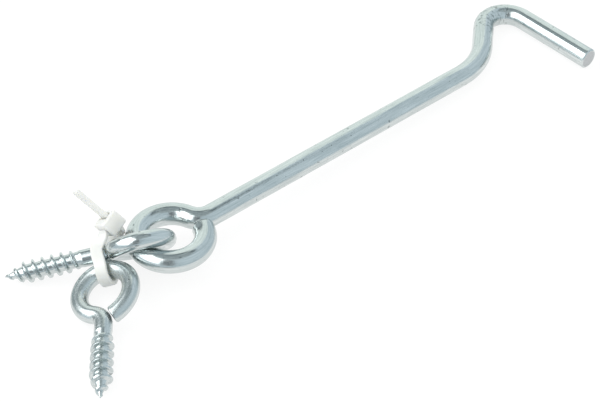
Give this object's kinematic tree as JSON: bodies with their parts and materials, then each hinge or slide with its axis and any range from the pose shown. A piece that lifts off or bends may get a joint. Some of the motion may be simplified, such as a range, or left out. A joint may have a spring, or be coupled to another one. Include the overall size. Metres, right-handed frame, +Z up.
{
  "type": "gate hook",
  "caption": "Bent wire gate hook linked to a closed screw eye, with an open screw eye tied to it by a nylon cable tie, all lying on a flat surface.",
  "frame": {"origin": "centre of the footprint's bounding box, on the surface that the part lies on", "axes": "+Z up, +X along the hook's rod from its ring towards its tip, +Y on the side that the rod's crank bulges to"},
  "size_m": [0.146, 0.0392, 0.0181],
  "materials": {
    "zinc_steel": "bright zinc plate, drawn wire",
    "nylon": "natural nylon, slightly translucent"
  },
  "bodies": {
    "eyes": {"pivot_eye": "zinc_steel", "catch_eye": "zinc_steel", "cable_tie": "nylon"},
    "hook": {"hook": "zinc_steel"}
  },
  "joints": [
    {"name": "hook_swing", "type": "hinge", "parent": "eyes", "child": "hook", "pos_m": [-0.03897, 0.00243, 0.0062], "axis": [0.0346, 0, 0.9994], "range_deg": [-110, 110]}
  ]
}
